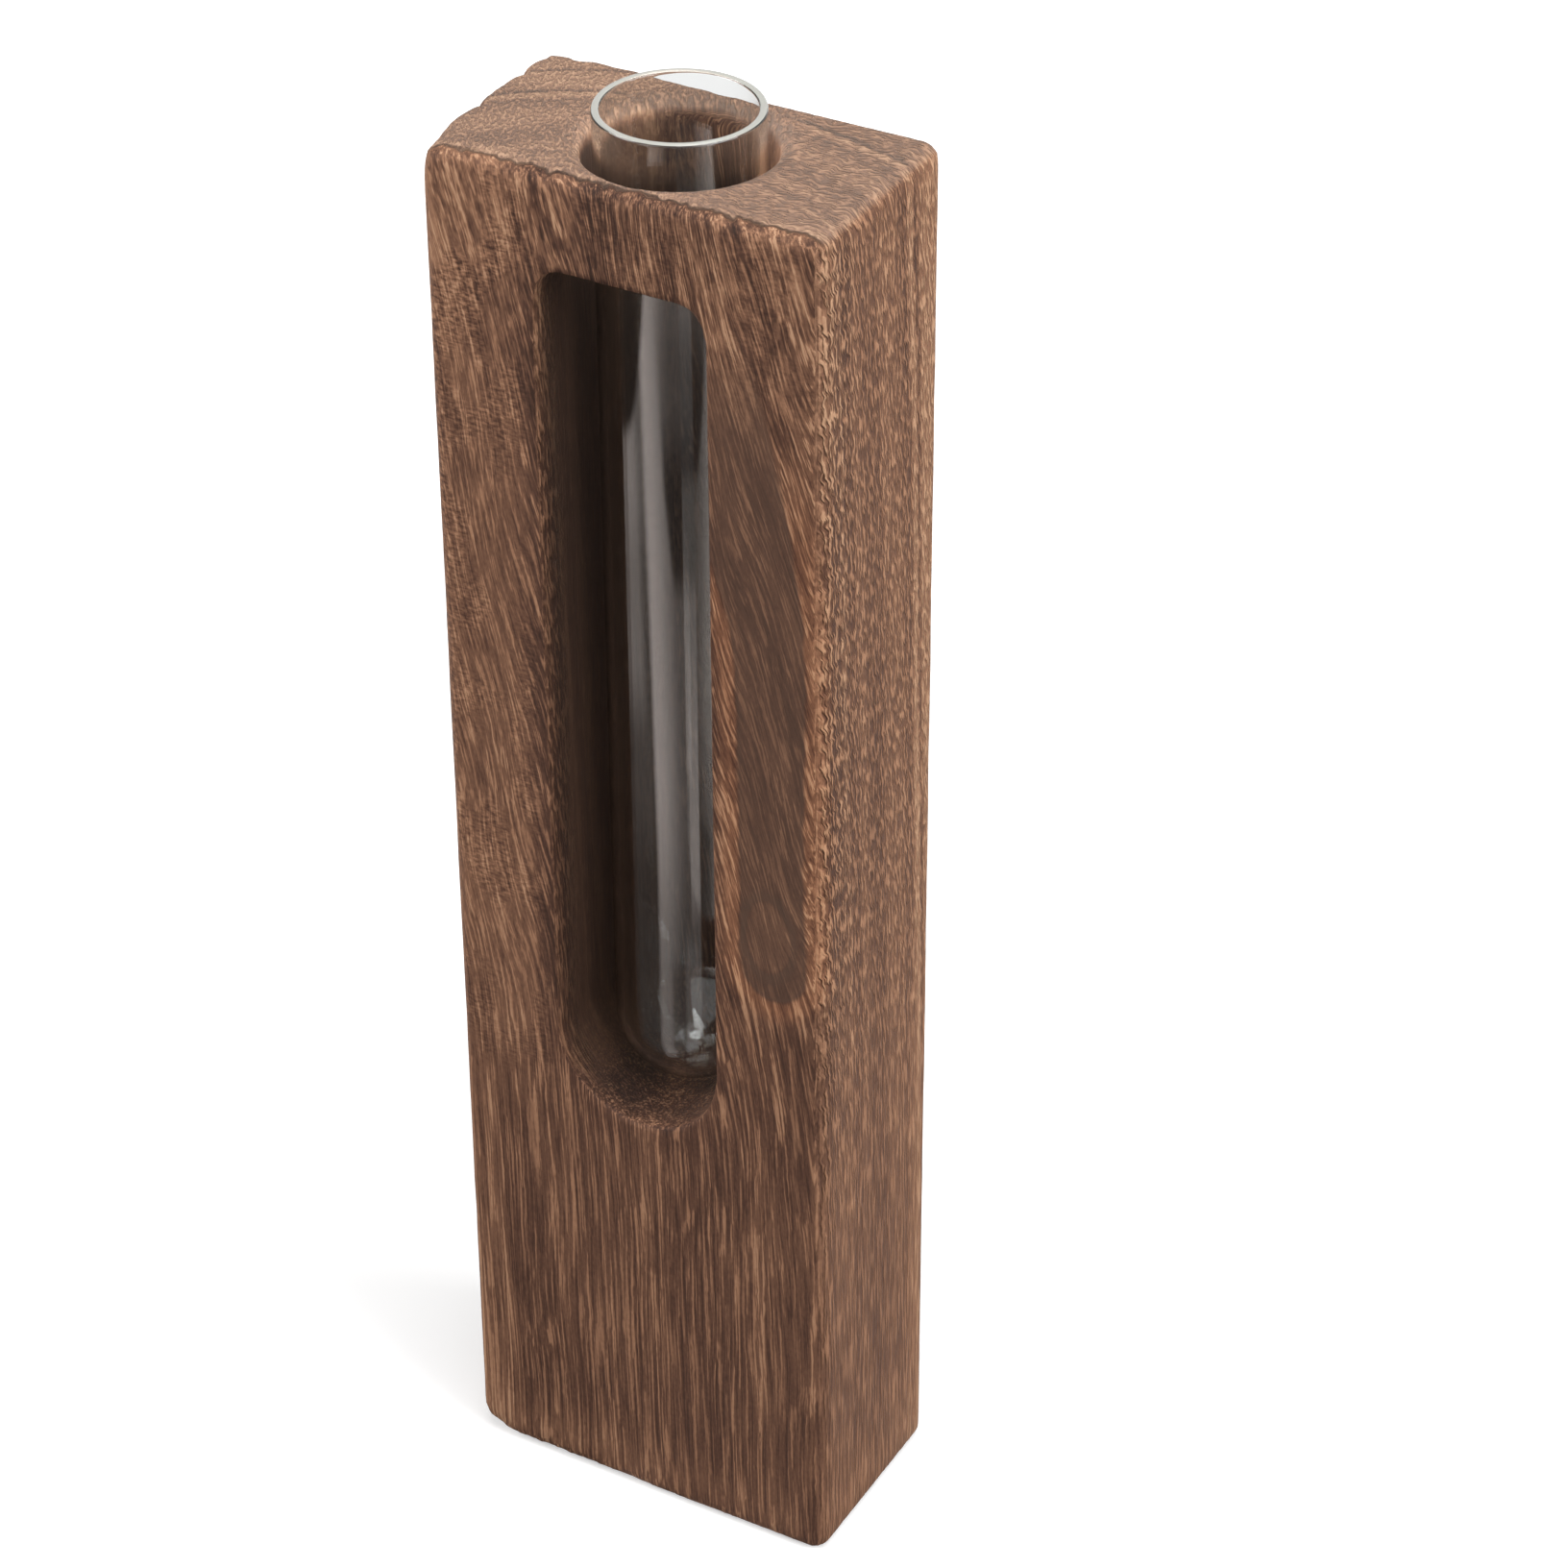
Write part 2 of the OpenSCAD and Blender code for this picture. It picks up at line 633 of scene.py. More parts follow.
    def grain(self, spot: Spot) -> Grain:
        """Draws the fibres, which sway, wobble and lean over as they climb, and the rings.

        Args:
            spot: The place.

        Returns:
            The grain there.
        """
        here = spot.here
        x, y, z = here
        sway = here.drift((14.0, 14.0, 46.0))
        wobble = here.drift((1.7, 1.7, 2.6)) * 0.25
        climb = z.ramp_up(self.lean_from, 28.0)
        leaning = climb * (x.step(-6.0, 20.0) * 0.12 + self.lean) * (1.0 - spot.side)
        swing = z.step(70.0, 130.0) * 3.6 + 2.6
        wave = here.drift((1.6, 4.0, 4.0)) * spot.top * 1.6
        fibre = Place(
            (x + leaning + sway * swing + wobble) * (1.0 - spot.top * 0.55),
            y - sway * 3.0 + wobble + wave,
            z * 0.5 + climb * 1.3,
        )
        warp = here.drift((24.0, 24.0, 90.0)) * 4.0 + spot.ragged * 0.9 + z * 0.030 - 7.2
        radius = (x - self.pith_x).across(y - self.pith_y) + warp
        return Grain(
            sway=sway,
            fibre=fibre,
            fine=fibre.cloud(self.vessel_cell, detail=2.0, roughness=0.62),
            broad=fibre.cloud(self.streak_cell, detail=2.0),
            relief=self.relief(spot, climb),
            radius=radius,
            grown=self.grown(radius),
        )

    def grown(self, radius: Wire) -> Wire:
        """Works out how pale the wood grew at a distance from the pith.

        Args:
            radius: The distance.

        Returns:
            0 for the darkest ring to 1 for the palest.
        """
        first, last = self.growth[0][0], self.growth[-1][0]
        place = (radius - first) * (1.0 / (last - first))
        stops = (((ring - first) / (last - first), (tone, tone, tone)) for ring, tone in self.growth)
        return radius.sheet.ramp(place, stops)

    def relief(self, spot: Spot, climb: Wire) -> Wire:
        """Draws the low relief that the brush left on the sides and the end grain.

        Args:
            spot: The place.
            climb: How far the fibres have started to lean over.

        Returns:
            A height round 0, in about half a millimetre.
        """
        here = spot.here
        x, y, z = here
        outer = abs(x).step(20.0, 26.0)
        near_front = y.step(-7.0, -13.0) * outer
        swing = z.step(40.0, 130.0) * outer * (near_front * 0.40 + 0.30)
        waved_y = y + here.drift((4.0, 4.0, 1.3), detail=0.0) * (swing + 0.2) + climb * 0.16
        drawn_z = z * 0.25 + z.ramp_up(95.0, 30.0) * 0.75
        strokes = Place(x, waved_y, drawn_z).cloud(self.stroke_cell).step(0.38, 0.62) - 0.5
        grains = Place(x + y * 0.35, y, z).cloud((0.56, 0.9, 5.0))
        wave = here.drift((1.8, 4.0, 4.0), detail=0.0)
        rows = Place(x, y + wave * 1.8, z).cloud((1.8, 0.56, 5.0))
        right = x.step(4.0, 18.0)
        end_grain = (grains * (1.0 - right) + rows * right).step(0.36, 0.64) - 0.5
        upper = z.step(50.0, 150.0)
        depth = upper * 0.24 + upper * near_front * 0.45 + 0.66
        inside = abs(x).step(17.0, 14.3) * y.step(-15.0, -11.0)
        return strokes * spot.side * (1.0 - inside) * depth * 0.46 + end_grain * spot.top * 0.42

    def tongue(self, spot: Spot, grain: Grain) -> Tongue:
        """Draws the scorched tongue, which narrows upwards beside the window and has a ring at its foot.

        Args:
            spot: The place.
            grain: The grain there.

        Returns:
            The tongue's shares.
        """
        x, _, z = spot.here
        torn_x = x + spot.ragged + grain.sway * 1.5
        rise = z.ramp_up(165.0, 8.0)
        spread = rise * rise
        off_middle = (torn_x - (24.2 - spread * 0.0065)) / (spread * 0.0035 + 5.7)
        outer = off_middle.across((-z).ramp_up(-116.0, 1.0) / 6.6)
        inner = ((torn_x - 23.4) / 3.9).across((z - 121.0) / 6.6)
        beside = spot.front * x.step(13.0, 15.5)
        outer_rim = outer.step(0.86, 0.97) * outer.step(1.05, 0.99)
        inner_rim = inner.step(0.95, 1.05) * inner.step(1.45, 1.15)
        return Tongue(
            inside=beside * outer.step(1.06, 0.90) * z.step(226.0, 205.0),
            halo=beside * z.step(215.0, 185.0) * outer.step(0.92, 1.10) * outer.step(1.75, 1.25),
            heart=inner.step(1.05, 0.85),
            rims=outer_rim + inner_rim,
        )

    def light(self, spot: Spot, grain: Grain, tongue: Tongue, calm: Wire) -> Wire:
        """Adds up how pale the wood is before the painted shade of the window and the bore is laid on.

        Args:
            spot: The place.
            grain: The grain there.
            tongue: The scorched tongue there.
            calm: How clearly the vessels stand out.

        Returns:
            The place on the range of tones.
        """
        here = spot.here
        z = here.z
        crown = spot.front * z.step(195.0, 228.0)
        low_front = spot.front * z.step(90.0, 60.0)
        lively = 1.0 + spot.side * -0.70 + spot.top * -0.45 + spot.border * -0.30 + low_front * -0.40
        vessels = grain.fine.step(0.49, 0.64) * (grain.broad.step(0.35, 0.65) * lively * 0.24 + 0.30)
        pores = grain.fine.step(0.46, 0.32)
        grit = here.drift((0.45, 0.45, 0.9)) * (spot.front * 0.06 + spot.border * 0.08 + 0.13)
        brushed = (vessels - pores * 0.20) * calm + (grain.broad - 0.5) * lively * 0.29 + grit
        side_rings = spot.side * (z.step(40.0, 120.0) * 0.26 + 0.22)
        top_rings = spot.top * spot.bore.step(15.5, 18.5) * 0.78
        rings = (grain.grown - 0.5) * (side_rings + top_rings)
        rings = rings + (self.ring_tone(grain.radius) - 0.5) * spot.front * 0.24
        bands = (grain.fibre.cloud(self.band_cell, detail=2.0) - 0.5) * lively * (crown * 0.6 + 0.42)
        tufts = (grain.fibre.cloud((1.1, 1.1, 4.5)).step(0.40, 0.60) - 0.5) * crown * 0.20
        flecked = here.cloud((9.0, 9.0, 16.0)).step(0.42, 0.58) * (spot.border + crown * 0.5)
        flecks = here.drift((1.2, 1.2, 0.48), detail=2.0) * flecked * 1.1
        # Painted highlight: pale knobbly dashes on the rounded front corner, where it turns towards the side
        # lamp.
        corner = spot.facing_right.step(0.30, 0.55) * spot.facing_right.step(0.99, 0.88)
        corner_glints = here.cloud((1.0, 1.0, 1.5)).step(0.46, 0.58) * corner * z.step(60.0, 140.0) * 0.16
        scorched = tongue.inside * (tongue.heart * 0.11 + tongue.rims * -0.07 - 0.02) + tongue.halo * 0.17
        plain = self.ground + grain.relief * 0.95 + brushed + rings + bands + tufts + flecks + corner_glints
        return sum((patch.on(spot) for patch in self.patches), plain + scorched)

    def ring_tone(self, radius: Wire) -> Wire:
        """Returns how pale the rings are, 0 to 1, at a distance from the pith."""
        s = radius.sheet
        look = {"W": radius * (1.0 / self.ring), "Scale": 0.8, "Detail": 1.0}
        return s.read(s.add("TexNoise", look, noise_dimensions="1D"))

    def colour(self, spot: Spot, tongue: Tongue, light: Wire) -> Wire:
        """Colours the wood, and then the ash of the tongue, the bleached top, and the painted shade along the
        top's front edge and in the window and the bore.

        Args:
            spot: The place.
            tongue: The scorched tongue there.
            light: How pale the wood is.

        Returns:
            The colour.
        """
        s = light.sheet
        # Painted shade: a dark ragged line along the top's front edge, where a crevice runs.
        crevice_shade = spot.facing_up * spot.here.z.step(236.0, 238.0) * abs(spot.front_edge).step(0.36, 0.06)
        wood = s.ramp(light, self.tones)
        wood = s.mix(tongue.inside * (tongue.rims * 0.25 + 0.35), wood, self.ash)
        wood = s.mix(tongue.halo * 0.16, wood, self.amber, "SOFT_LIGHT")
        wood = s.mix(spot.top * 0.36, wood, self.bleached)
        wood = s.mix(crevice_shade * 0.6, wood, self.painted_shade)
        # Painted shade on the walls of the window and the bore.
        return s.mix(self.painted_pocket_shade(spot), wood, self.painted_shade)

    def painted_pocket_shade(self, spot: Spot) -> Wire:
        """Works out how much painted shade darkens the walls of the window and the bore, where little light
        reaches.

        Args:
            spot: The place.

        Returns:
            0 to 1. The back wall of the bore's mouth and the sill of the window get less painted shade, as
            more light reaches them.
        """
        x, y, z = spot.here
        pocket = abs(x).step(17.0, 14.3) * y.step(-18.3, -13.0) * y.step(16.0, 15.0) * z.step(75.0, 78.0)
        left_mouth = z.step(226.0, 233.0) * (x.step(-8.0, 0.0) * 0.70 + 0.30)
        right_mouth = z.step(219.0, 234.0) * x.step(-1.0, 5.0)
        mouth = y.step(0.0, 6.0) * left_mouth.at_least(right_mouth)
        sill = z.step(92.0, 80.0) * y.step(-2.0, -12.0) * (x.step(-4.0, 6.0) * 0.18 + 0.06)
        deep = z.step(120.0, 190.0) * 0.08 + y.step(-12.0, -5.0) * 0.05
        return pocket * z.step(self.height - 1.0, self.height - 4.0) * (0.74 - mouth * 0.74 - sill + deep)


@dataclass(frozen=True)
class Glass:
    """Glass that light passes through. The clearness is the share of it that is transparent."""

    tint: Triple
    roughness: float = 0.0
    clearness: float = 1.0
    ior: float = 1.50

    def shader(self, s: NodeSheet) -> bpy.types.Node:
        """Draws the surface.

        Args:
            s: The material's nodes.

        Returns:
            The shader.
        """
        return s.add(
            "BsdfPrincipled",
            {
                "Base Color": self.tint,
                "Roughness": self.roughness,
                "IOR": self.ior,
                "Transmission Weight": self.clearness,
            },
        )


@dataclass(frozen=True)
class ClearGlass(Glass):
    """Drawn soda glass, clear, with a faint green cast that deepens where the wall is seen edge on.

    Lamps shine through it. The density is how strongly it takes up its cast in each metre of the light's way.
    """

    tint: Triple = (0.996, 0.998, 0.996)
    cast: Triple = (0.74, 0.79, 0.76)
    density: float = 130.0

    def material(self) -> bpy.types.Material:
        """Draws the finish.

        Returns:
            The material.
        """
        material, s = new_material("clear_glass")
        for_lamps = s.read(s.add("LightPath"), "Is Shadow Ray")
        clear = s.add("BsdfTransparent", {"Color": self.tint})
        either = s.add("MixShader", {0: for_lamps, 1: self.shader(s), 2: clear})
        body = s.add("VolumeAbsorption", {"Color": self.cast, "Density": self.density})
        s.add("OutputMaterial", {"Surface": either, "Volume": body})
        return material


@dataclass(frozen=True)
class RimGlass(Glass):
    """The fire polished bead of the rim. Its pale, partly opaque surface is painted light, standing in for
    the pale green light that the thick glass gathers.
    """

    tint: Triple = (0.97, 0.96, 0.87)
    roughness: float = 0.06
    # The opaque share paints the bead pale: painted light.
    clearness: float = 0.60

    def material(self) -> bpy.types.Material:
        """Draws the finish.

        Returns:
            The material.
        """
        material, s = new_material("rim_glass")
        s.add("OutputMaterial", {"Surface": self.shader(s)})
        return material


@dataclass(frozen=True)
class Dent:
    """A place where the block took a knock. Lengths are in millimetres."""

    place: Triple
    push: Triple
    reach: float

    def press(self, block: Piece) -> None:
        """Presses the dent into a mesh, with a soft falloff round the vertex nearest to its place.

        Args:
            block: The mesh object.
        """
        place = Vector(self.place) * MM
        nearest = min(block.data.vertices, key=lambda v: (v.co - place).length_squared).co.copy()
        with editing(block, Element.POINT, lambda p: (p[0] - nearest).length < 0.001 * MM):
            bpy.ops.transform.translate(
                value=Vector(self.push) * MM,
                use_proportional_edit=True,
                proportional_edit_falloff="SMOOTH",
                proportional_size=self.reach * MM,
            )


@dataclass(frozen=True)
class Wear:
    """A cloudy wear of the surface. Its grain, along X, Y and Z, and its depth are in millimetres."""

    name: str
    grain: Triple
    depth: float

    def mark(self, block: Piece, weigh: Callable[[Vector], float]) -> None:
        """Weighs the block's points in a vertex group, which limits where the wear works.

        Args:
            block: The block.
            weigh: The weight at a point.
        """
        group = block.vertex_groups.new(name=self.name)
        for vertex in block.data.vertices:
            weight = weigh(vertex.co)
            if weight > 0.0:
                group.add([vertex.index], weight, "REPLACE")

    def rub(self, block: Piece) -> None:
        """Lowers the surface, all over or where the block is marked for this wear.

        Args:
            block: The block.
        """
        wear = block.modifiers.new(self.name, "DISPLACE")
        if self.name in block.vertex_groups:
            wear.vertex_group = self.name
        texture = bpy.data.textures.new(self.name, "CLOUDS")
        texture.noise_scale = 1.0
        texture.noise_depth = 2
        guide = bpy.data.objects.new(self.name, None)
        bpy.context.scene.collection.objects.link(guide)
        guide.scale = Vector(self.grain) * MM
        bpy.context.view_layer.update()
        wear.texture = texture
        wear.texture_coords = "OBJECT"
        wear.texture_coords_object = guide
        wear.strength = self.depth * MM
        wear.mid_level = 1.0
        apply_modifier(block, wear)
        bpy.data.objects.remove(guide, do_unlink=True)


@dataclass
class WoodBlock:
    """The upright block, with its bore, its window and its worn edges. Lengths are in metres."""

    low: Vector
    high: Vector
    side_edge: float = 3.0 * MM
    end_edge: float = 2.5 * MM
    bore_radius: float = 14.0 * MM
    bore_lip: float = 3.0 * MM
    lip_steps: int = 8
    lip_sweep: float = 84.0
    window_floor: float = 77.0 * MM
    floor_share: float = 0.9999
    bridge: float = 15.5 * MM
    window_corner: float = 5.0 * MM
    window_edge: float = 2.0 * MM
    overrun: float = 1.0 * MM
    voxel: float = 0.48 * MM
    squeeze: float = 4.0
    wear_reach: float = 3.2 * MM
    wear_of_spared_ends: float = 0.2
    wear_of_uprights: float = 0.4
    rubbed: Wear = Wear("rubbed_edges", (3.2, 3.2, 7.0), 0.5)
    chipped: Wear = Wear("chipped_foot", (1.5, 4.0, 60.0), 1.1)
    brushed: Wear = Wear("brushed_flutes", (1.1, 1.1, 14.0), 0.16)
    dents: tuple[Dent, ...] = (
        Dent((-33.0, -15.0, 240.0), (0.4, 0.1, -0.9), 6.0),
        Dent((-33.0, -3.2, 240.0), (0.7, 0.0, -1.0), 2.4),
        Dent((-33.0, 9.0, 240.0), (0.5, 0.0, -0.6), 3.0),
        Dent((-33.0, 14.5, 240.0), (0.4, 0.0, -0.5), 2.0),
        Dent((-31.0, 18.0, 240.0), (0.2, -0.3, -0.3), 6.0),
        Dent((-26.5, 18.0, 240.0), (0.0, -0.7, -0.8), 2.2),
        Dent((-31.0, -18.0, 0.0), (0.3, 0.3, 1.0), 5.0),
    )

    def build(self, finish: BurntWood) -> Piece:
        """Models and dresses the block.

        Args:
            finish: The finish of its surface.

        Returns:
            The finished block.
        """
        block = self.blank()
        cut_away(block, self.window_cutter())
        cut_away(block, self.bore_cutter())
        self.ease_window(block)
        self.even_out(block)
        self.weather(block)
        make_active(block)
        bpy.ops.object.shade_smooth()
        block.data.materials.clear()
        block.data.materials.append(finish.material())
        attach(block, Body.BLOCK.value)
        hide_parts("wood_block")
        LOG.info("%s: %d faces", block.name, len(block.data.polygons))
        return block

    def blank(self) -> Piece:
        """Planes the blank: a box with its upright edges and then its end edges rounded.

        Returns:
            The blank.
        """
        middle = (self.low + self.high) / 2
        block = new_box("burnt_wood_block", middle, self.high - self.low)
        with editing(block, Element.EDGE, lambda e: near(e[0].x, e[1].x) and near(e[0].y, e[1].y)):
            bpy.ops.mesh.bevel(offset=self.side_edge, segments=8, affect="EDGES")
        with editing(block, Element.EDGE, lambda e: near(e[0].z, e[1].z) and not near(e[0].z, middle.z)):
            bpy.ops.mesh.bevel(offset=self.end_edge, segments=6, affect="EDGES")
        return block

    def window_cutter(self) -> Piece:
        """Models the router's path: a slab from the front face to the bore's axis with a half round floor.

        Returns:
            The cutter.
        """
        top = self.high.z - self.bridge
        front = self.low.y - self.overrun
        middle = (0, front / 2, (top + self.window_floor) / 2)
        cutter = new_box("window_cutter", middle, (2 * self.bore_radius, -front, top - self.window_floor))
        for height, radius, segments in (
            (self.window_floor, self.bore_radius * self.floor_share, 24),
            (top, self.window_corner, 8),
        ):
            with editing(
                cutter, Element.EDGE, lambda e: all(near(p.z, height) and near(p.x, e[0].x) for p in e)
            ):
                bpy.ops.mesh.bevel(offset=radius, segments=segments, affect="EDGES")
        return cutter

    def bore_cutter(self) -> Piece:
        """Models the round nosed bit: the lower half of a ball, drawn up and flared past the top face.

        Returns:
            The cutter.
        """
        spring = self.window_floor + self.bore_radius
        cutter = new_bowl("bore_cutter", self.bore_radius, spring, segments=96)
        with editing(cutter, Element.EDGE, lambda e: near(e[0].z, spring) and near(e[1].z, spring)):
            radius, height = self.bore_radius, spring
            for step in range(self.lip_steps + 1):
                angle = math.radians(self.lip_sweep * step / self.lip_steps)
                wider = self.bore_radius + self.bore_lip * (1.0 - math.cos(angle))
                higher = self.high.z - self.bore_lip * (1.0 - math.sin(angle))
                flare = wider / radius
                draw_up(higher - height)
                bpy.ops.transform.resize(value=(flare, flare, 1.0), center_override=(0, 0, higher))
                radius, height = wider, higher
            draw_up(self.overrun)
            bpy.ops.mesh.edge_face_add()
        return cutter

    def ease_window(self, block: Piece) -> None:
        """Rounds the edge of the window in the front face.

        Args:
            block: The block, cut.
        """
        reach = self.bore_radius + 0.5 * MM
        low = self.window_floor - 0.1 * MM
        high = self.high.z - self.bridge + 0.1 * MM

        def on_the_outline(edge: list[Vector]) -> bool:
            """Says whether an edge lies on the window's outline in the front face."""
            return all(near(p.y, self.low.y) and abs(p.x) < reach and low < p.z < high for p in edge)

        with editing(block, Element.EDGE, on_the_outline) as found:
            bpy.ops.mesh.bevel(offset=self.window_edge, segments=6, affect="EDGES", clamp_overlap=True)
        LOG.info("window edge: %d edges eased", found)

    def even_out(self, block: Piece) -> None:
        """Gives the block an even skin of small faces, longer up the grain than across it.

        Args:
            block: The block.
        """
        block.data.transform(Matrix.Diagonal((1, 1, 1 / self.squeeze, 1)))
        skin = block.modifiers.new("skin", "REMESH")
        skin.mode = "VOXEL"
        skin.voxel_size = self.voxel
        skin.adaptivity = 0.0
        apply_modifier(block, skin)
        block.data.transform(Matrix.Diagonal((1, 1, self.squeeze, 1)))

    def weather(self, block: Piece) -> None:
        """Wears the block: rubbed edges, a chipped foot, a few dents and shallow flutes along the grain.

        Args:
            block: The block.
        """
        self.rubbed.mark(block, self.near_an_edge)
        self.chipped.mark(block, self.near_the_foot)
        self.rubbed.rub(block)
        self.chipped.rub(block)
        for dent in self.dents:
            dent.press(block)
        self.brushed.rub(block)

    def near_an_edge(self, place: Vector) -> float:
        """Weighs a point by how near it is to an outer edge of the blank, less where the edge was spared.

        Args:
            place: The point.

        Returns:
            1 on an edge, 0 from the reach of the wear on.
        """
        depths = sorted(min(p - low, high - p) for p, low, high in zip(place, self.low, self.high))
        at_the_back = place.z > self.high.z - self.wear_reach and place.y > 0
        at_the_foot = place.z < self.low.z + self.wear_reach
        spared = 1.0
        if place.x > 0 and (at_the_back or at_the_foot):
            spared = self.wear_of_spared_ends
        elif self.wear_reach < place.z < self.high.z - self.wear_reach:
            spared = self.wear_of_uprights
        return max(0.0, 1.0 - depths[1] / self.wear_reach) * spared

    def near_the_foot(self, place: Vector) -> float:
        """Weighs a point by how near it is to the left half of the block's lower front edge.

        Args:
            place: The point.

        Returns:
            0 to 1.
        """
        off_edge = max(place.y - self.low.y, place.z - self.low.z)
        across = min(1.0, max(0.0, 0.15 - 1.3 * place.x / (self.high.x - self.low.x)))
        return max(0.0, 1.0 - off_edge / self.wear_reach) * across


@dataclass
class GlassTube:
    """The test tube. Lengths are in metres, and the bead's sizes are shares of the wall."""

    low: Vector
    high: Vector
    wall: float = 1.2 * MM
    collar: float = 0.72 * MM
    steps: int = 128
    bead_round: float = 0.48
    bead_depth: float = 0.24

    def build(self, finish: ClearGlass, rim: RimGlass) -> Piece:
        """Models and dresses the tube.

        Args:
            finish: The glass.
            rim: The glass of the rim's bead.

        Returns:
            The finished tube.
        """
        tube = self.drawn_shell()
        self.blow_wall(tube)
        self.polish_rim(tube)
        make_active(tube)
        bpy.ops.object.shade_smooth()
        tube.data.materials.clear()
        tube.data.materials.append(finish.material())
        tube.data.materials.append(rim.material())
        bead = self.high.z - self.bead_depth * self.wall
        for face in tube.data.polygons:
            face.material_index = int(face.center.z > bead)
        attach(tube, Body.TUBE.value)
        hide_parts("test_tube")
        LOG.info("%s: %d faces", tube.name, len(tube.data.polygons))
        return tube

    def drawn_shell(self) -> Piece:
        """Models the outside: the lower half of a ball, drawn up to the rim with close loops at both ends.

        Returns:
            The open shell.
        """
        radius = (self.high.x - self.low.x) / 2
        top = self.low.z + radius
        tube = new_bowl("glass_test_tube", radius, top, self.steps)
        length = self.high.z - top - 3 * self.collar
        for rise in (self.collar, length, self.collar, self.collar):
            with editing(tube, Element.EDGE, lambda e: near(e[0].z, top) and near(e[1].z, top)):
                draw_up(rise)
            top += rise
        return tube

    def blow_wall(self, tube: Piece) -> None:
        """Gives the shell its thickness, inwards.

        Args:
            tube: The open shell.
        """
        with editing(tube, Element.FACE, lambda f: True):
            bpy.ops.mesh.remove_doubles(threshold=0.001 * MM)
            bpy.ops.mesh.normals_make_consistent(inside=False)
        wall = tube.modifiers.new("wall", "SOLIDIFY")
        wall.thickness = self.wall
        wall.offset = -1.0
        wall.use_even_offset = True
        apply_modifier(tube, wall)

    def polish_rim(self, tube: Piece) -> None:
        """Rounds both edges of the rim into one bead, as a flame does.

        Args:
            tube: The tube.
        """
        top = max(v.co.z for v in tube.data.vertices)

        def runs_round(edge: list[Vector]) -> bool:
            """Says whether an edge runs round the rim, and not across its wall."""
            a, b = edge
            return near(a.z, top) and near(b.z, top) and near(math.hypot(a.x, a.y), math.hypot(b.x, b.y))

        with editing(tube, Element.EDGE, runs_round):
            bpy.ops.mesh.bevel(offset=self.wall * self.bead_round, segments=5, affect="EDGES")


@dataclass(frozen=True)
class PhotoCamera:
    """The photograph's camera. Lengths are in metres and angles in degrees."""

    place: Triple = (0.31216, -0.52647, 0.54069)
    azimuth: float = 29.33
    elevation: float = 33.83
    roll: float = -0.25
    lens_mm: float = 110.2
    sensor_mm: float = 36.0

    def build(self) -> Piece:
        """Sets up the camera.

        Returns:
            The camera.
        """
        lens = bpy.data.cameras.new("photo_camera")
        lens.lens = self.lens_mm
        lens.sensor_width = self.sensor_mm
        camera = bpy.data.objects.new("photo_camera", lens)
        bpy.context.scene.collection.objects.link(camera)
        turn = (
            Matrix.Rotation(math.radians(self.azimuth), 4, "Z")
            @ Matrix.Rotation(math.radians(90.0 - self.elevation), 4, "X")
            @ Matrix.Rotation(math.radians(self.roll), 4, "Z")
        )
        camera.matrix_world = Matrix.Translation(self.place) @ turn
        bpy.context.scene.camera = camera
        return camera


@dataclass(frozen=True)
class Softbox:
    """One studio lamp: a square panel that faces the vase. Lengths are in metres and angles in degrees."""

    name: str
    azimuth: float
    elevation: float
    distance: float
    size: float
    power: float

    def build(self, centre: Vector) -> Piece:
        """Hangs the lamp.

        Args:
            centre: The point that it faces.

        Returns:
            The lamp.
        """
        panel = bpy.data.lights.new(self.name, "AREA")
        panel.shape = "SQUARE"
        panel.size = self.size
        panel.energy = self.power
        lamp = bpy.data.objects.new(self.name, panel)
        bpy.context.scene.collection.objects.link(lamp)
        a, e = math.radians(self.azimuth), math.radians(self.elevation)
        away = Vector((math.sin(a) * math.cos(e), -math.cos(a) * math.cos(e), math.sin(e)))
        turn = away.to_track_quat("Z", "Y").to_matrix().to_4x4()
        lamp.matrix_world = Matrix.Translation(centre + away * self.distance) @ turn
        return lamp


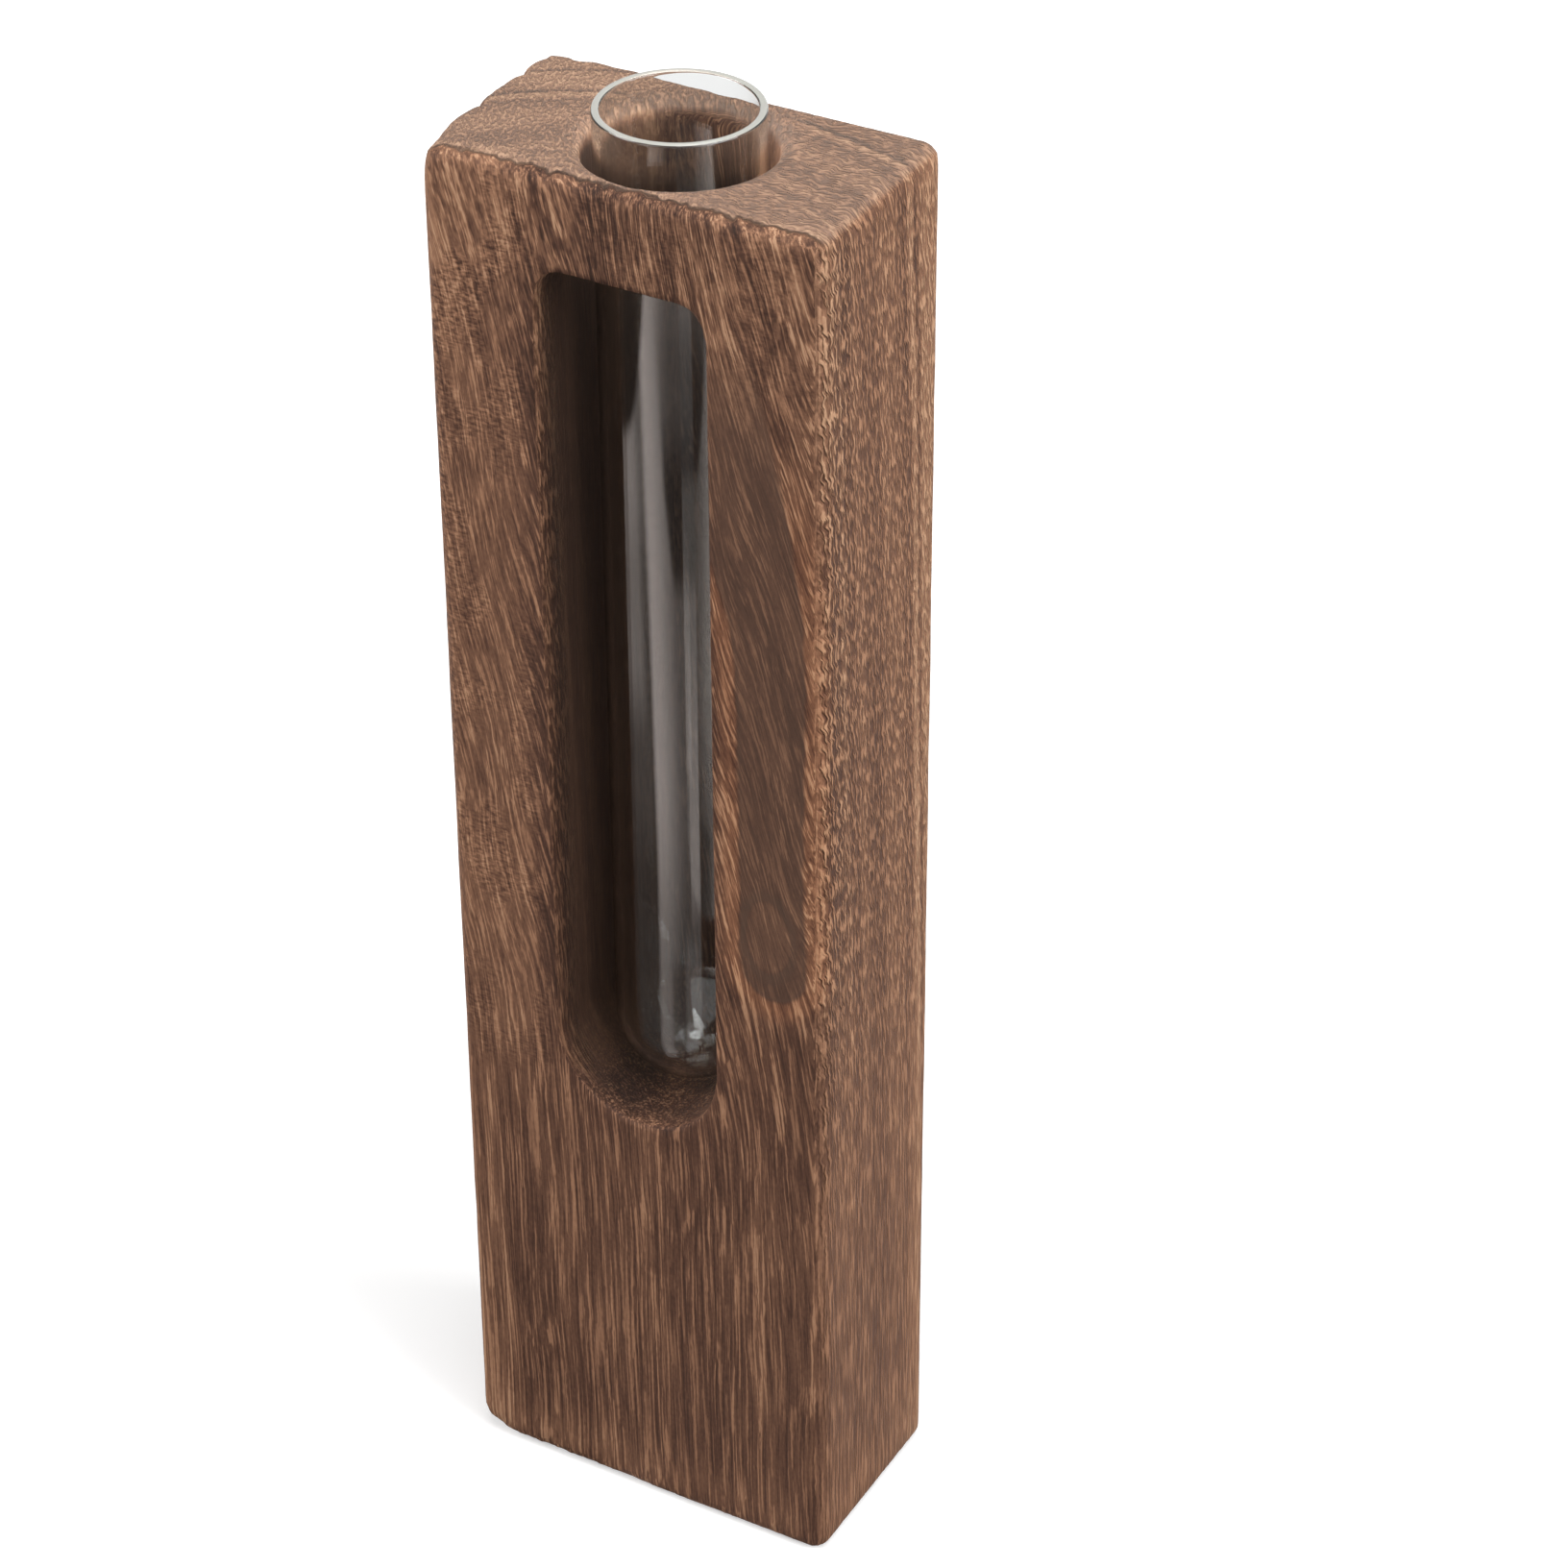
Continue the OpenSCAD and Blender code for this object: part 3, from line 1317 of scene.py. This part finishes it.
@dataclass(frozen=True)
class PaintedWindowReflection:
    """A painted reflection: how bright the table looks in the glass, painted as one window's light on it and
    the dim room round that.

    The table is read in polar form round the vase: the reach from it in metres, and the bearing in degrees, 0
    straight ahead of the front and growing to the right.
    """

    tint: Triple = (1.0, 0.88, 0.83)
    edge: float = -20.0
    edge_drift: float = 60.0
    peak: float = 1.88
    wash: float = 0.64
    room: float = 0.10

    def strength(self, x: Wire, y: Wire, reach: Wire) -> Wire:
        """Works out the brightness of a place on the table.

        Args:
            x: The place across.
            y: The place from front to back.
            reach: The distance from the vase.

        Returns:
            The brightness, 1 for white paper.
        """
        bearing = x.sheet.math("ARCTAN2", x, -y) * (180.0 / math.pi)
        past_edge = bearing + (reach - 0.19).at_least(0.0) * self.edge_drift - self.edge
        lit = past_edge.step(-1.0, 3.5)
        second = past_edge.step(-8.0, -14.0) * reach.step(0.225, 0.265)
        beyond = reach.step(0.17, 0.22) * 0.18 + second * 0.65 + reach.step(0.29, 0.34) * 0.40 + self.room
        slit = bearing.step(17.0, 22.0) * reach.step(0.175, 0.15)
        line = bearing.step(27.6, 29.0) * reach.step(0.165, 0.185) * reach.step(0.29, 0.21)
        window = self.window(bearing, reach, past_edge) * lit + slit * 0.32 + line * 0.8
        table_end = (x * -0.838 - y * 0.547).step(0.364, 0.350)
        return table_end * (window + beyond * (1.0 - lit)) + self.room * 0.5

    def window(self, bearing: Wire, reach: Wire, past_edge: Wire) -> Wire:
        """Draws the painted window light, which fades to the right, with the painted shadows that cross it.

        Args:
            bearing: The bearing.
            reach: The reach.
            past_edge: The angle past the light's left edge.

        Returns:
            The brightness.
        """
        fading = past_edge.step(45.0, 8.0) * self.peak + self.wash
        nearer = reach.step(0.145, 0.225) * 0.58 + 0.42
        bend = reach.at_most(0.335)
        slant = (bend - 0.30) * 275.0 + (reach - bend) * 110.0
        corner = (bearing + slant).step(7.0, 14.0) * (0.88 - reach.step(0.335, 0.385) * 0.53)
        corner = corner * reach.step(0.285, 0.305) * reach.step(0.43, 0.39)
        gap = bearing.step(-4.0, 3.0) * bearing.step(19.0, 16.0) * reach.step(0.165, 0.15)
        mouth = reach.step(0.42, 0.45) * bearing.step(5.0, 13.0)
        return fading * nearer * (1.0 - corner - gap * 0.5 - mouth * 0.85)


@dataclass
class Studio:
    """The white table and backdrop, the lamps and the sky."""

    painted_window_reflection: PaintedWindowReflection = PaintedWindowReflection()
    sky: float = 0.09
    table_size: float = 6.0
    paint: float = 0.80
    bounce: float = 0.20
    lamps: tuple[Softbox, ...] = (
        Softbox("overhead_softbox", 60.0, 70.0, 1.1, 0.8, 8.6),
        Softbox("side_softbox", 86.0, 27.0, 1.2, 0.9, 14.0),
        Softbox("front_softbox", -50.0, 27.0, 1.3, 0.9, 15.6),
    )

    def build(self, centre: Vector) -> None:
        """Sets up the studio.

        Args:
            centre: The middle of the vase.
        """
        self.lay_table()
        self.light_sky()
        for lamp in self.lamps:
            lamp.build(centre)

    def lay_table(self) -> None:
        """Lays the table top that the vase stands on: white, but where the glass mirrors it, a painted
        reflection of a window's light and a dim room.
        """
        clear_selection()
        bpy.ops.mesh.primitive_plane_add(size=self.table_size)
        table = new_piece("white_table")
        material, s = new_material("white_table")
        x, y, _ = s.place()
        reach = x.across(y)
        path = s.add("LightPath")
        in_glass = s.read(path, "Is Glossy Ray").at_least(s.read(path, "Is Transmission Ray"))
        mirrored = in_glass * s.read(path, "Glossy Depth").at_most(1.0)
        bounced = s.read(path, "Is Diffuse Ray")
        # For rays from the glass, the table glows with the painted reflection of a window and a dim room.
        room = self.painted_window_reflection.strength(x, y, reach).at_least(y.step(-0.02, 0.02))
        pale = (1.0 + mirrored * (room - 1.0)) * (1.0 + bounced * (self.bounce - 1.0))
        painted = pale * (1.0 - in_glass) * self.paint
        lift = (reach.step(0.12, 0.9) * 0.65 + 0.35).at_least(in_glass)
        tint = s.mix(mirrored * y.step(0.02, -0.02), WHITE, self.painted_window_reflection.tint)
        paint = s.add("BsdfDiffuse", {"Color": s.join(painted, painted, painted)})
        glow = s.add("Emission", {"Color": tint, "Strength": pale * (1.0 - bounced) * lift})
        s.add("OutputMaterial", {"Surface": s.add("AddShader", {0: paint, 1: glow})})
        table.data.materials.append(material)

    def light_sky(self) -> None:
        """Lights the room evenly, and shows it white to the camera and in the glass."""
        world = bpy.data.worlds.new("white_room")
        world.use_nodes = True
        world.node_tree.nodes.clear()
        s = NodeSheet(world.node_tree)
        path = s.add("LightPath")
        seen = s.read(path, "Is Camera Ray").at_least(s.read(path, "Is Glossy Ray"))
        seen = seen.at_least(s.read(path, "Is Transmission Ray"))
        sky = s.add("Background", {"Color": WHITE, "Strength": seen * (1.0 - self.sky) + self.sky})
        s.add("OutputWorld", {"Surface": sky})
        bpy.context.scene.world = world


def main() -> None:
    """Builds the vase and its studio in order."""
    logging.basicConfig(level=logging.INFO, format="%(name)s: %(message)s")
    bpy.context.scene.view_settings.view_transform = "Standard"
    PhotoCamera().build()
    WoodBlock(*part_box("wood_block")).build(BurntWood())
    GlassTube(*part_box("test_tube")).build(ClearGlass(), RimGlass())
    Studio().build((CAD_BOX[0] + CAD_BOX[1]) / 2)


if __name__ == "__main__":
    main()
